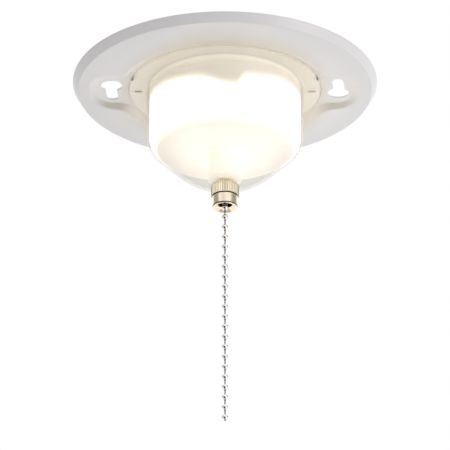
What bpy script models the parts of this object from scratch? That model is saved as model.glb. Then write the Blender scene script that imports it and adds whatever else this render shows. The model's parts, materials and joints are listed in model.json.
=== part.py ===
"""Pull-chain ceiling light: a round base plate with a clear lens, a frosted diffuser, an LED
board, a pull-chain switch, a thimble nut and a bead chain.

Metres, +Z up. The origin is the centre of the plate's back face, which lies on the ceiling.
The light hangs towards -Z, and its terminal housing rises towards +Z into the ceiling box.
"""

import math

import bmesh
import bpy
from mathutils import Matrix

GAP = 0.0003                      # between pieces that touch

# Base plate
PLATE_R = 0.0595
PLATE_EDGE_R = 0.0576             # front edge of the drafted rim
PLATE_EDGE_Z = -0.0036
FACE_INNER_Z = -0.0053            # the shallow cone of the face, at the recess
RIM_T = 0.0013
SKIN_T = 0.0018
RECESS_R = 0.0406                 # the recess outline, halfway up its sloped wall
WALL_FOOT = -0.0020               # where the wall meets the floor, measured from the outline
WALL_HEAD = 0.0014                # where its rounded lip meets the face
LIP_R = 0.0009
FLOOR_Z = -0.00305                # underside of the recess and pocket floor
POCKET_T = 0.0010
PLATE_HOLE_R = 0.0270
SEAT_Z = -0.0022                  # the sunk seat that the lens flange lies in
SEAT_T = 0.0014
POCKET_HALF_W = 0.0129
POCKET_END_X = 0.0517
POCKET_CORNER_R = 0.0085
POCKET_MOUTH_R = 0.0060

# Keyholes, on the 3.5 inch screw spacing of a 4 inch ceiling box
SCREW_CIRCLE_R = 0.04445
KEYHOLE_R = 0.0042
SLOT_W = 0.0044
KEYHOLE_ANGLE = math.radians(4.0)
SLOT_END_ANGLE = math.radians(-8.3)
KEYHOLE_EDGE_T = 0.0005           # the hole flares behind this depth
KEYHOLE_FLARE = 0.0012

# Lens
FLANGE_R = 0.0374
FLANGE_TOP_Z = SEAT_Z - GAP
FLANGE_T = 0.0013
LENS_R = 0.0307
LENS_T = 0.0010
LENS_CORNER_Z = -0.0268           # where the wall's line and the cone's line cross
LENS_CORNER_R = 0.0085
LENS_CONE_ANGLE = math.radians(44)
LENS_BOTTOM_Z = -0.0453
LENS_BOTTOM_R = 0.030             # curvature at the foot of the cone
LENS_HOLE_R = 0.0040

# Diffuser
DIFFUSER_R = 0.0293
DIFFUSER_T = 0.0009
DIFFUSER_TOP_Z = -0.0063
DIFFUSER_FLOOR_Z = -0.0306
DIFFUSER_CORNER_R = 0.0067
NECK_R = 0.0066
NECK_BOTTOM_Z = -0.0430

# Light engine
CARRIER_R = 0.0286
CARRIER_TOP_Z = SEAT_Z - GAP
CARRIER_BOTTOM_Z = -0.0060
CARRIER_HOLE_R = 0.0070
BOARD_R = 0.0270
BOARD_TOP_Z = -0.0063
BOARD_T = 0.0016
BOARD_HOLE_R = 0.0060
LED_COUNT = 6
LED_RING_R = 0.0200
LED_SIZE = (0.0035, 0.0028, 0.0008)
CARRIER_SCREW_Y = 0.0232
SCREW_HOLE_R = 0.0018
SCREW_SHANK_R = 0.0014
SCREW_HEAD_R = 0.0028

# Rear housing and terminals
HOUSING_FLANGE_R = 0.0302
HOUSING_R = 0.0280
HOUSING_T = 0.0016
HOUSING_FLANGE_T = 0.0018
HOUSING_BOTTOM_Z = SEAT_Z + SEAT_T + GAP
HOUSING_TOP_Z = 0.0130
HOUSING_TOP_T = 0.0020
HOUSING_BOSS_R = 0.0040
HOUSING_BOSS_TOP_Z = 0.0060
TERMINAL_X = 0.0120
TERMINAL_PLATE_T = 0.0010
TERMINAL_HEAD_R = 0.0033
TERMINAL_HEAD_T = 0.0021

# Switch
BODY_X = 0.0240
BODY_Y = 0.0180
BODY_TOP_Z = -0.0124
BODY_BOTTOM_Z = -0.0284
BODY_WALL = 0.0012
CAP_T = 0.0013
STANDOFF_Y = 0.0070
STANDOFF_R = 0.0019
NIPPLE_R = 0.0036
NIPPLE_BORE_R = 0.0026
NIPPLE_BOTTOM_Z = -0.0525
PLUNGER_FLANGE_R = 0.0052
PLUNGER_TOP_Z = -0.0172
PLUNGER_FLANGE_T = 0.0015
STEM_R = 0.0021
SOCKET_R = 0.00165
SOCKET_TOP_Z = -0.0442
STEM_BOTTOM_Z = -0.0478
SPRING_R = 0.0044
SPRING_WIRE_R = 0.00028
SPRING_TURNS = 4
ROTOR_R = 0.0064
ROTOR_TOP_Z = -0.0149
ROTOR_T = 0.0020
ROTOR_TEETH = 4
BRIDGE_SIZE = (0.0120, 0.0030, 0.0006)
BRIDGE_TOP_Z = -0.0140
PIVOT_R = 0.0010
CONTACT_T = 0.0005
CONTACT_LEG_X = 0.0094
LEAD_R = 0.0006

# Thimble nut
NUT_TOP_Z = LENS_BOTTOM_Z         # clear of the lens, whose bottom curves up round its hole
NUT_KNURL_R = 0.00545
NUT_KNURL_BOTTOM_Z = -0.0502
NUT_COLLAR_R = 0.00505
NUT_MOUTH_Z = -0.0548
NUT_MOUTH_R = 0.0043
NUT_THROAT_R = 0.0026
NUT_THROAT_Z = -0.0534
NUT_SHOULDER_Z = -0.0528
NUT_BORE_R = 0.0039

# Bead chain
BEAD_R = 0.0013
BEAD_PITCH = 0.004277
FIRST_BEAD_Z = -0.04611
BEAD_COUNT = 24
PIN_R = 0.00022


# ---------------------------------------------------------------- materials

def material(name, colour, roughness, metallic=0.0, alpha=1.0, glow=0.0):
    made = bpy.data.materials.new(name)
    made.use_nodes = True
    shader = made.node_tree.nodes["Principled BSDF"]
    shader.inputs["Base Color"].default_value = (*colour, 1.0)
    shader.inputs["Roughness"].default_value = roughness
    shader.inputs["Metallic"].default_value = metallic
    shader.inputs["Alpha"].default_value = alpha
    shader.inputs["Emission Color"].default_value = (*colour, 1.0)
    shader.inputs["Emission Strength"].default_value = glow
    return made


def finish(obj, colour, roughness, metallic=0.0, alpha=1.0, glow=0.0, smooth_angle=35.0):
    """Gives the object its own material and smooth shading with sharp edges."""
    obj.data.materials.append(material(obj.name, colour, roughness, metallic, alpha, glow))
    if obj.type == "MESH":
        obj.data.shade_smooth()
        obj.data.set_sharp_from_angle(angle=math.radians(smooth_angle))
    return obj


WHITE = (0.80, 0.80, 0.79)
BLACK = (0.03, 0.03, 0.03)
NICKEL = (0.66, 0.63, 0.58)
BRASS = (0.72, 0.53, 0.25)
STEEL = (0.55, 0.55, 0.56)
COPPER = (0.72, 0.40, 0.26)


# ---------------------------------------------------------------- shape tools

def object_of(bm, name):
    bmesh.ops.recalc_face_normals(bm, faces=bm.faces)
    mesh = bpy.data.meshes.new(name)
    bm.to_mesh(mesh)
    bm.free()
    obj = bpy.data.objects.new(name, mesh)
    bpy.context.scene.collection.objects.link(obj)
    return obj


def arc(centre_r, centre_z, radius, start, end, steps):
    """Points (r, z) along an arc; the angles are in radians."""
    turn = (end - start) / steps
    return [
        (centre_r + radius * math.cos(start + turn * i), centre_z + radius * math.sin(start + turn * i))
        for i in range(steps + 1)
    ]


def joined(rings, closed):
    """Faces between rings of equal size. A ring of one point is a pole."""
    bm = bmesh.new()
    made = [[bm.verts.new(point) for point in ring] for ring in rings]
    pairs = list(zip(made, made[1:]))
    if closed:
        pairs.append((made[-1], made[0]))
    for low, high in pairs:
        count = max(len(low), len(high))
        for i in range(count):
            k = (i + 1) % count
            corners = [low[i % len(low)], low[k % len(low)], high[k % len(high)], high[i % len(high)]]
            bm.faces.new(list(dict.fromkeys(corners)))
    return bm


def turned(name, profile, segments, start=0.0):
    """A profile of (r, z) turned about Z. It closes on itself unless both its ends are on the axis."""
    rings = []
    for r, z in profile:
        if r == 0:
            rings.append([(0, 0, z)])
            continue
        angles = [start + math.tau * i / segments for i in range(segments)]
        rings.append([(r * math.cos(a), r * math.sin(a), z) for a in angles])
    return object_of(joined(rings, closed=profile[0][0] != 0), name)


def tube(name, outer_r, inner_r, top_z, bottom_z, segments):
    profile = [(inner_r, top_z), (outer_r, top_z), (outer_r, bottom_z), (inner_r, bottom_z)]
    return turned(name, profile, segments)


def rod(name, radius, top_z, bottom_z, segments, x=0.0, y=0.0):
    """A cylinder on a vertical axis, turned half a facet so that no corner lies along X or Y."""
    profile = [(0, top_z), (radius, top_z), (radius, bottom_z), (0, bottom_z)]
    made = turned(name, profile, segments, start=math.pi / segments)
    made.location = (x, y, 0)
    return made


def block(name, size, centre, bevel=0.0):
    bm = bmesh.new()
    bmesh.ops.create_cube(bm, size=1.0, matrix=Matrix.Diagonal((*size, 1.0)))
    if bevel:
        bmesh.ops.bevel(bm, geom=bm.edges[:], offset=bevel, segments=1, affect="EDGES")
    made = object_of(bm, name)
    made.location = centre
    return made


def capped(name, rings):
    """Rings joined one to the next, with a flat cap on the first and the last."""
    bm = joined(rings, closed=False)
    bm.verts.ensure_lookup_table()
    bm.faces.new(bm.verts[:len(rings[0])])
    bm.faces.new(bm.verts[-len(rings[0]):])
    return object_of(bm, name)


def prism(name, outline, top_z, bottom_z):
    return capped(name, [[(x, y, z) for x, y in outline] for z in (top_z, bottom_z)])


def boolean(target, other, operation):
    """Cuts with or adds a helper, which stays in the scene as a hidden wire."""
    step = target.modifiers.new(f"{operation.lower()} {other.name}", "BOOLEAN")
    step.operation = operation
    step.object = other
    other.hide_render = True
    other.display_type = "WIRE"
    return target


# ---------------------------------------------------------------- base plate

def recess_outline(grow):
    """The recess and its two side pockets as one closed line, moved outwards by grow."""
    recess = RECESS_R + grow
    half = POCKET_HALF_W + grow
    end = POCKET_END_X + grow
    corner = POCKET_CORNER_R + grow
    mouth = POCKET_MOUTH_R - grow
    mouth_y = half + mouth
    mouth_x = math.sqrt((recess + mouth) ** 2 - mouth_y**2)
    mouth_angle = math.atan2(mouth_y, mouth_x)
    quarter = [(end, 0)] + arc(end - corner, half - corner, corner, 0, math.pi / 2, 5)
    quarter += arc(mouth_x, mouth_y, mouth, -math.pi / 2, mouth_angle - math.pi, 4)
    quarter += arc(0, 0, recess, mouth_angle, math.pi / 2, 9)[1:]
    half_loop = quarter + [(-x, y) for x, y in reversed(quarter[:-1])]
    return half_loop + [(x, -y) for x, y in reversed(half_loop[1:-1])]


def face_z(x, y):
    """Height of the plate's shallow conical face."""
    slope = (PLATE_EDGE_Z - FACE_INNER_Z) / (PLATE_EDGE_R - RECESS_R)
    return FACE_INNER_Z + (math.hypot(x, y) - RECESS_R) * slope


def level_ring(grow, z):
    return [(x, y, z) for x, y in recess_outline(grow)]


def face_ring(grow, lift):
    return [(x, y, face_z(x, y) + lift) for x, y in recess_outline(grow)]


def circle_ring(radius, z):
    """A circle whose points lie on the same rays as the outline's."""
    rays = [math.atan2(y, x) for x, y in recess_outline(0)]
    return [(radius * math.cos(a), radius * math.sin(a), z) for a in rays]


def base_plate():
    inside_r = PLATE_EDGE_R - SKIN_T
    seat_r = FLANGE_R + GAP
    step_r = seat_r + POCKET_T
    rings = [
        circle_ring(PLATE_HOLE_R, SEAT_Z),
        circle_ring(seat_r, SEAT_Z),
        circle_ring(seat_r, FLOOR_Z),
        level_ring(WALL_FOOT, FLOOR_Z),
        level_ring(WALL_FOOT + 0.0007, FLOOR_Z - 0.0002),
        face_ring(WALL_HEAD - LIP_R, LIP_R * 0.5),
        face_ring(WALL_HEAD - LIP_R * 0.5, LIP_R * 0.13),
        face_ring(WALL_HEAD, 0),
        circle_ring(PLATE_EDGE_R - 0.0005, face_z(PLATE_EDGE_R - 0.0005, 0)),
        circle_ring(PLATE_EDGE_R, PLATE_EDGE_Z + 0.0003),
        circle_ring(PLATE_R, -0.0003),
        circle_ring(PLATE_R, 0),
        circle_ring(PLATE_R - RIM_T, 0),
        circle_ring(inside_r, face_z(inside_r, 0) + SKIN_T),
        face_ring(WALL_HEAD + 0.0005, SKIN_T),
        level_ring(WALL_FOOT + 0.0010, FLOOR_Z + POCKET_T),
        circle_ring(step_r, FLOOR_Z + POCKET_T),
        circle_ring(step_r - 0.0004, SEAT_Z + SEAT_T),
        circle_ring(PLATE_HOLE_R, SEAT_Z + SEAT_T),
    ]
    plate = object_of(joined(rings, closed=True), "base_plate")
    for side, turn in (("right", 0.0), ("left", math.pi)):
        for cutter in keyhole_cutters(side, turn):
            boolean(plate, cutter, "DIFFERENCE")
    return finish(plate, WHITE, 0.35)


def on_screw_circle(angle):
    return SCREW_CIRCLE_R * math.cos(angle), SCREW_CIRCLE_R * math.sin(angle)


def wide_outline(turn, grow):
    """The wide hole that a screw head passes."""
    start = math.pi / 24
    return arc(*on_screw_circle(turn + KEYHOLE_ANGLE), KEYHOLE_R + grow, start, start + math.tau, 24)[:-1]


def slot_outline(turn, grow):
    """The curved slot that the screw's shank turns into."""
    half = SLOT_W / 2 + grow
    wide_angle = turn + KEYHOLE_ANGLE
    end_angle = turn + SLOT_END_ANGLE
    outline = arc(0, 0, SCREW_CIRCLE_R + half, wide_angle, end_angle, 6)
    outline += arc(*on_screw_circle(end_angle), half, end_angle, end_angle - math.pi, 8)[1:-1]
    return outline + arc(0, 0, SCREW_CIRCLE_R - half, end_angle, wide_angle, 6)


def keyhole_cutters(side, turn):
    """A thin edge at the front, flared towards the back."""
    flare_z = FLOOR_Z + KEYHOLE_EDGE_T
    reach = 0.0025
    levels = ((FLOOR_Z - reach, 0), (flare_z, 0), (flare_z + reach, KEYHOLE_FLARE * reach / POCKET_T))
    cutters = []
    for name, outline in (("hole", wide_outline), ("slot", slot_outline)):
        rings = [[(x, y, z) for x, y in outline(turn, grow)] for z, grow in levels]
        cutters.append(capped(f"cutter_{side}_{name}", rings))
    return cutters


# ---------------------------------------------------------------- lens and diffuser

def dome_outline(radius, corner_z, corner_r, bottom_z, end_r, corner_steps, bottom_steps):
    """(r, z) down a dome: a straight wall, a round corner, a cone and a shallow round bottom."""
    angle = LENS_CONE_ANGLE
    reach = corner_r * math.tan((math.pi / 2 - angle) / 2)
    points = arc(radius - corner_r, corner_z + reach, corner_r, 0, angle - math.pi / 2, corner_steps)
    foot_r = radius - (corner_z - bottom_z) / math.tan(angle)
    blend = LENS_BOTTOM_R * math.tan(angle / 2)
    end_turn = math.asin((end_r - foot_r + blend) / LENS_BOTTOM_R)
    start = angle - math.pi / 2
    end = end_turn - math.pi / 2
    points += arc(foot_r - blend, bottom_z + LENS_BOTTOM_R, LENS_BOTTOM_R, start, end, bottom_steps)
    return points


def lens():
    inside_z = LENS_CORNER_Z + LENS_T * math.tan((math.pi / 2 - LENS_CONE_ANGLE) / 2)
    outer = dome_outline(LENS_R, LENS_CORNER_Z, LENS_CORNER_R, LENS_BOTTOM_Z, LENS_HOLE_R, 5, 4)
    inner = dome_outline(LENS_R - LENS_T, inside_z, LENS_CORNER_R - LENS_T,
                         LENS_BOTTOM_Z + LENS_T, LENS_HOLE_R, 5, 4)
    flange_z = FLANGE_TOP_Z - FLANGE_T
    root = 0.0009
    profile = [(LENS_R - LENS_T, FLANGE_TOP_Z), (FLANGE_R, FLANGE_TOP_Z), (FLANGE_R, flange_z)]
    profile += arc(LENS_R + root, flange_z - root, root, math.pi / 2, math.pi, 3)
    profile += outer + inner[::-1]
    return finish(turned("lens", profile, 48), (0.90, 0.92, 0.93), 0.05, alpha=0.35)


def diffuser():
    bottom = DIFFUSER_FLOOR_Z
    inner_r = DIFFUSER_R - DIFFUSER_T
    corner = DIFFUSER_CORNER_R
    profile = [(inner_r, DIFFUSER_TOP_Z), (DIFFUSER_R, DIFFUSER_TOP_Z)]
    profile += arc(DIFFUSER_R - corner, bottom + corner, corner, 0, -math.pi / 2, 6)
    profile += [(NECK_R, bottom), (NECK_R, NECK_BOTTOM_Z), (NECK_R - DIFFUSER_T, NECK_BOTTOM_Z)]
    profile += [(NECK_R - DIFFUSER_T, bottom + DIFFUSER_T)]
    inside = corner - DIFFUSER_T
    profile += arc(DIFFUSER_R - corner, bottom + corner, inside, -math.pi / 2, 0, 4)
    return finish(turned("diffuser", profile, 48), (1.0, 0.95, 0.86), 0.4, glow=3.0)


# ---------------------------------------------------------------- light engine

def holes_for_carrier_screws(target, top_z, bottom_z):
    for side, y in (("front", -CARRIER_SCREW_Y), ("back", CARRIER_SCREW_Y)):
        hole = rod(f"cutter_{target.name}_{side}", SCREW_HOLE_R, top_z, bottom_z, 12, 0, y)
        boolean(target, hole, "DIFFERENCE")


def light_carrier():
    made = tube("light_carrier", CARRIER_R, CARRIER_HOLE_R, CARRIER_TOP_Z, CARRIER_BOTTOM_Z, 48)
    holes_for_carrier_screws(made, 0, CARRIER_BOTTOM_Z - 0.001)
    return finish(made, WHITE, 0.4)


def led_board():
    bottom_z = BOARD_TOP_Z - BOARD_T
    made = tube("led_board", BOARD_R, BOARD_HOLE_R, BOARD_TOP_Z, bottom_z, 48)
    holes_for_carrier_screws(made, BOARD_TOP_Z + 0.001, bottom_z - 0.001)
    return finish(made, (0.88, 0.88, 0.86), 0.45)


def leds():
    z = BOARD_TOP_Z - BOARD_T - GAP - LED_SIZE[2] / 2
    for i in range(LED_COUNT):
        angle = math.tau * i / LED_COUNT
        centre = (LED_RING_R * math.cos(angle), LED_RING_R * math.sin(angle), z)
        made = block(f"led_{i + 1}", LED_SIZE, centre)
        made.rotation_euler = (0, 0, angle)
        finish(made, (1.0, 0.85, 0.45), 0.3, glow=8.0)


def board_parts():
    """The mains driver parts, soldered to the LED board between the LEDs."""
    under = BOARD_TOP_Z - BOARD_T - GAP
    parts = (
        ("bridge_rectifier", (0.0050, 0.0040, 0.0016), (0.0120, 0.0115), BLACK),
        ("driver_chip", (0.0050, 0.0040, 0.0015), (-0.0120, 0.0115), BLACK),
        ("fuse_resistor", (0.0060, 0.0024, 0.0024), (-0.0130, -0.0115), (0.25, 0.42, 0.35)),
        ("surge_varistor", (0.0070, 0.0040, 0.0050), (0.0130, -0.0125), (0.05, 0.12, 0.45)),
    )
    for name, size, (x, y), colour in parts:
        finish(block(name, size, (x, y, under - size[2] / 2), bevel=0.0004), colour, 0.45)


def carrier_screws():
    """Two screws through the board and the carrier into the rear housing's bosses."""
    head_z = BOARD_TOP_Z - BOARD_T - GAP
    for name, y in (("carrier_screw_front", -CARRIER_SCREW_Y), ("carrier_screw_back", CARRIER_SCREW_Y)):
        profile = [(0, HOUSING_BOSS_TOP_Z - 0.001), (SCREW_SHANK_R, HOUSING_BOSS_TOP_Z - 0.001)]
        profile += [(SCREW_SHANK_R, head_z), (SCREW_HEAD_R, head_z)]
        profile += [(SCREW_HEAD_R, head_z - 0.0008)]
        profile += [(SCREW_HEAD_R * 0.6, head_z - 0.0016), (0, head_z - 0.0016)]
        made = turned(name, profile, 14)
        made.location = (0, y, 0)
        finish(made, STEEL, 0.3, metallic=1.0)


# ---------------------------------------------------------------- rear housing

def rear_housing():
    round_r = 0.0025
    flange_z = HOUSING_BOTTOM_Z + HOUSING_FLANGE_T
    inner_r = HOUSING_R - HOUSING_T
    inner_top = HOUSING_TOP_Z - HOUSING_TOP_T
    profile = [(inner_r, HOUSING_BOTTOM_Z), (HOUSING_FLANGE_R, HOUSING_BOTTOM_Z)]
    profile += [(HOUSING_FLANGE_R, flange_z), (HOUSING_R, flange_z)]
    profile += arc(HOUSING_R - round_r, HOUSING_TOP_Z - round_r, round_r, 0, math.pi / 2, 4)
    profile += [(0, HOUSING_TOP_Z)]
    profile = [(0, inner_top), (inner_r, inner_top)] + profile
    made = turned("rear_housing", profile, 40)
    for side, y in (("front", -CARRIER_SCREW_Y), ("back", CARRIER_SCREW_Y)):
        boss_bottom = HOUSING_BOTTOM_Z + GAP
        boss = rod(f"boss_{side}", HOUSING_BOSS_R, HOUSING_BOSS_TOP_Z, boss_bottom, 20, 0, y)
        boolean(made, boss, "UNION")
        hole = rod(f"boss_hole_{side}", SCREW_HOLE_R, HOUSING_BOSS_TOP_Z - 0.0006, -0.003, 12, 0, y)
        boolean(made, hole, "DIFFERENCE")
    barrier = block("terminal_barrier", (0.0020, 0.0240, 0.0070), (0, 0, HOUSING_TOP_Z + 0.0030))
    boolean(made, barrier, "UNION")
    for side, x in (("line", TERMINAL_X), ("neutral", -TERMINAL_X)):
        hole = rod(f"terminal_hole_{side}", SCREW_HOLE_R, HOUSING_TOP_Z + 0.001, inner_top - 0.001, 12, x, 0)
        boolean(made, hole, "DIFFERENCE")
    return finish(made, WHITE, 0.45)


def terminals():
    """Each terminal is a plate on the housing's top, held by a binding screw."""
    plate_z = HOUSING_TOP_Z + GAP
    head_z = plate_z + TERMINAL_PLATE_T + GAP
    for side, x, colour in (("line", TERMINAL_X, BRASS), ("neutral", -TERMINAL_X, NICKEL)):
        centre = (x, 0, plate_z + TERMINAL_PLATE_T / 2)
        plate = block(f"terminal_plate_{side}", (0.0100, 0.0120, TERMINAL_PLATE_T), centre)
        hole = rod(f"plate_hole_{side}", SCREW_HOLE_R, plate_z + 0.003, plate_z - 0.001, 12, x, 0)
        finish(boolean(plate, hole, "DIFFERENCE"), colour, 0.3, metallic=1.0)
        top_z = head_z + TERMINAL_HEAD_T
        profile = [(0, top_z), (TERMINAL_HEAD_R * 0.8, top_z), (TERMINAL_HEAD_R, top_z - 0.0006)]
        profile += [(TERMINAL_HEAD_R, head_z), (SCREW_SHANK_R, head_z)]
        profile += [(SCREW_SHANK_R, HOUSING_TOP_Z - 0.0050), (0, HOUSING_TOP_Z - 0.0050)]
        screw = turned(f"terminal_screw_{side}", profile, 18)
        screw.location = (x, 0, 0)
        slot = block(f"screw_slot_{side}", (0.0090, 0.0010, 0.0020), (x, 0, top_z + 0.0003))
        slot.rotation_euler = (0, 0, math.radians(35))
        finish(boolean(screw, slot, "DIFFERENCE"), colour, 0.3, metallic=1.0)


def lead(name, points):
    """A covered wire: a smooth curve through its points with a round section."""
    curve = bpy.data.curves.new(name, "CURVE")
    curve.dimensions = "3D"
    curve.bevel_depth = LEAD_R
    curve.bevel_resolution = 1
    curve.use_fill_caps = True
    curve.resolution_u = 3
    spline = curve.splines.new("BEZIER")
    spline.bezier_points.add(len(points) - 1)
    for knot, place in zip(spline.bezier_points, points):
        knot.co = place
        knot.handle_left_type = "AUTO"
        knot.handle_right_type = "AUTO"
    made = bpy.data.objects.new(name, curve)
    bpy.context.scene.collection.objects.link(made)
    return made


def leads():
    """The line goes through the switch to the board, and the neutral goes straight to it."""
    leg_top = BODY_TOP_Z + CAP_T + 0.0012
    terminal_z = HOUSING_TOP_Z - 0.0050 - GAP - LEAD_R
    board_z = BOARD_TOP_Z - BOARD_T - GAP - LEAD_R
    line = [(TERMINAL_X, 0, terminal_z), (0.0070, 0.0020, 0.0020), (0.0040, 0, -0.0040)]
    line += [(0.0045, 0, -0.0085), (0.0070, 0, leg_top + 0.0006), (CONTACT_LEG_X, 0, leg_top + GAP + LEAD_R)]
    finish(lead("lead_line", line), BLACK, 0.5)
    switched = [(-CONTACT_LEG_X, 0, leg_top + GAP + LEAD_R), (-0.0110, 0.0010, leg_top + 0.0009)]
    switched += [(-0.0140, 0.0030, board_z)]
    finish(lead("lead_switched", switched), (0.55, 0.05, 0.04), 0.5)
    neutral = [(-TERMINAL_X, 0, terminal_z), (-0.0070, -0.0020, 0.0020), (-0.0040, 0.0010, -0.0040)]
    neutral += [(-0.0040, 0.0030, -0.0084), (-0.0050, 0.0085, board_z)]
    finish(lead("lead_neutral", neutral), WHITE, 0.5)


# ---------------------------------------------------------------- pull-chain switch

def switch_housing():
    height = BODY_TOP_Z - BODY_BOTTOM_Z
    centre_z = (BODY_TOP_Z + BODY_BOTTOM_Z) / 2
    made = block("switch_housing", (BODY_X, BODY_Y, height), (0, 0, centre_z), bevel=0.0006)
    inside = (BODY_X - 2 * BODY_WALL, BODY_Y - 2 * BODY_WALL, height)
    boolean(made, block("housing_cavity", inside, (0, 0, centre_z + BODY_WALL)), "DIFFERENCE")
    hole = rod("housing_hole", NIPPLE_R + GAP, BODY_BOTTOM_Z + 0.003, BODY_BOTTOM_Z - 0.001, 24)
    return finish(boolean(made, hole, "DIFFERENCE"), BLACK, 0.45)


def switch_cap():
    """The lid, with the rotor's pivot under it and two standoffs up to the LED board."""
    bottom_z = BODY_TOP_Z + GAP
    top_z = bottom_z + CAP_T
    made = block("switch_cap", (BODY_X, BODY_Y, CAP_T), (0, 0, (bottom_z + top_z) / 2))
    boolean(made, rod("cap_pivot", PIVOT_R, top_z - 0.0004, -0.0166, 12), "UNION")
    for side, y in (("front", -STANDOFF_Y), ("back", STANDOFF_Y)):
        top = BOARD_TOP_Z - BOARD_T - GAP
        boolean(made, rod(f"standoff_{side}", STANDOFF_R, top, bottom_z + 0.0004, 12, 0, y), "UNION")
    for side, x in (("right", CONTACT_LEG_X), ("left", -CONTACT_LEG_X)):
        slot = block(f"cap_slot_{side}", (0.0014, 0.0040, 0.0040), (x, 0, top_z))
        boolean(made, slot, "DIFFERENCE")
    return finish(made, (0.10, 0.10, 0.10), 0.5)


def fixed_contacts():
    """Each is a tongue above one end of the bridge, with a leg up through the cap."""
    tongue_z = BRIDGE_TOP_Z + GAP
    leg_top = BODY_TOP_Z + CAP_T + 0.0012
    for side, sign in (("right", 1), ("left", -1)):
        tongue = block(f"fixed_contact_{side}", (0.0051, 0.0030, CONTACT_T),
                       (sign * (CONTACT_LEG_X - 0.0023), 0, tongue_z + CONTACT_T / 2))
        leg = block(f"contact_leg_{side}", (CONTACT_T, 0.0030, leg_top - tongue_z),
                    (sign * CONTACT_LEG_X, 0, (leg_top + tongue_z) / 2))
        finish(boolean(tongue, leg, "UNION"), BRASS, 0.3, metallic=1.0)


def contact_bridge():
    made = block("contact_bridge", BRIDGE_SIZE, (0, 0, BRIDGE_TOP_Z - BRIDGE_SIZE[2] / 2))
    hole = rod("bridge_hole", PIVOT_R + GAP, BRIDGE_TOP_Z + 0.001, BRIDGE_TOP_Z - 0.002, 12)
    return finish(boolean(made, hole, "DIFFERENCE"), COPPER, 0.3, metallic=1.0)


def contact_rotor():
    """An insulating ratchet wheel that carries the bridge; each pull turns it one tooth."""
    outline = []
    for i in range(ROTOR_TEETH):
        start = math.tau * i / ROTOR_TEETH
        step = math.tau / ROTOR_TEETH / 6
        outline += [
            (ROTOR_R * (0.80 + 0.20 * k / 6) * math.cos(start + step * k),
             ROTOR_R * (0.80 + 0.20 * k / 6) * math.sin(start + step * k))
            for k in range(7)
        ]
    made = prism("contact_rotor", outline, ROTOR_TOP_Z, ROTOR_TOP_Z - ROTOR_T + GAP)
    hole = rod("rotor_hole", PIVOT_R + GAP, ROTOR_TOP_Z + 0.001, ROTOR_TOP_Z - ROTOR_T - 0.001, 12)
    return finish(boolean(made, hole, "DIFFERENCE"), (0.75, 0.70, 0.58), 0.5)


def plunger():
    """A flange on a stem, whose open end is the socket that holds the chain's top bead."""
    flange_z = PLUNGER_TOP_Z - PLUNGER_FLANGE_T
    lip_r = 0.0007
    profile = [(0, PLUNGER_TOP_Z), (PLUNGER_FLANGE_R, PLUNGER_TOP_Z), (PLUNGER_FLANGE_R, flange_z)]
    profile += [(STEM_R, flange_z), (STEM_R, STEM_BOTTOM_Z), (lip_r, STEM_BOTTOM_Z)]
    profile += [(lip_r, STEM_BOTTOM_Z + 0.0003), (SOCKET_R, STEM_BOTTOM_Z + 0.0007)]
    profile += [(SOCKET_R, SOCKET_TOP_Z), (0, SOCKET_TOP_Z)]
    return finish(turned("plunger", profile, 20), STEEL, 0.3, metallic=1.0)


def return_spring():
    """A coil round the stem, between the plunger's flange and the housing's floor."""
    top = PLUNGER_TOP_Z - PLUNGER_FLANGE_T - GAP - SPRING_WIRE_R
    bottom = BODY_BOTTOM_Z + BODY_WALL + GAP + SPRING_WIRE_R
    steps = SPRING_TURNS * 12
    rings = []
    for i in range(steps + 1):
        angle = math.tau * SPRING_TURNS * i / steps
        z = top + (bottom - top) * i / steps
        ring = []
        for k in range(5):
            turn = math.tau * k / 5
            r = SPRING_R + SPRING_WIRE_R * math.cos(turn)
            ring.append((r * math.cos(angle), r * math.sin(angle), z + SPRING_WIRE_R * math.sin(turn)))
        rings.append(ring)
    return finish(capped("return_spring", rings), STEEL, 0.25, metallic=1.0, smooth_angle=80)


def threaded_nipple():
    top_z = BODY_BOTTOM_Z + BODY_WALL - GAP
    made = tube("threaded_nipple", NIPPLE_R, NIPPLE_BORE_R, top_z, NIPPLE_BOTTOM_Z, 28)
    return finish(made, NICKEL, 0.25, metallic=1.0)


def thimble_nut():
    corner = 0.0007
    profile = [(NUT_BORE_R, NUT_TOP_Z), (NUT_KNURL_R, NUT_TOP_Z), (NUT_KNURL_R, NUT_KNURL_BOTTOM_Z)]
    profile += [(NUT_COLLAR_R, NUT_KNURL_BOTTOM_Z - 0.0002)]
    profile += arc(NUT_COLLAR_R - corner, NUT_MOUTH_Z + corner, corner, 0, -math.pi / 2, 4)
    profile += [(NUT_MOUTH_R - 0.0004, NUT_MOUTH_Z + 0.0003), (NUT_THROAT_R + 0.0005, NUT_THROAT_Z - 0.0004)]
    profile += [(NUT_THROAT_R, NUT_THROAT_Z), (NUT_THROAT_R, NUT_SHOULDER_Z), (NUT_BORE_R, NUT_SHOULDER_Z)]
    return finish(turned("thimble_nut", profile, 32), NICKEL, 0.2, metallic=1.0)


# ---------------------------------------------------------------- bead chain

def bead_mesh():
    """A bead with the upper half of the pin that joins it to the bead above."""
    pin_top = BEAD_PITCH - BEAD_R - GAP
    start = math.acos(PIN_R / BEAD_R)
    profile = [(0, pin_top), (PIN_R, pin_top)] + arc(0, 0, BEAD_R, start, -math.pi / 2, 5)
    profile[-1] = (0, -BEAD_R)
    return turned("chain_bead", profile, 8)


def bead_chain():
    pattern = bead_mesh()
    for i in range(BEAD_COUNT):
        bead = bpy.data.objects.new(f"chain_bead_{i + 1:02d}", pattern.data.copy())
        bpy.context.scene.collection.objects.link(bead)
        bead.location = (0, 0, FIRST_BEAD_Z - BEAD_PITCH * i)
        finish(bead, NICKEL, 0.2, metallic=1.0, smooth_angle=60)
    cut_top_pin(bpy.data.objects["chain_bead_01"])
    bpy.data.objects.remove(pattern)


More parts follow.
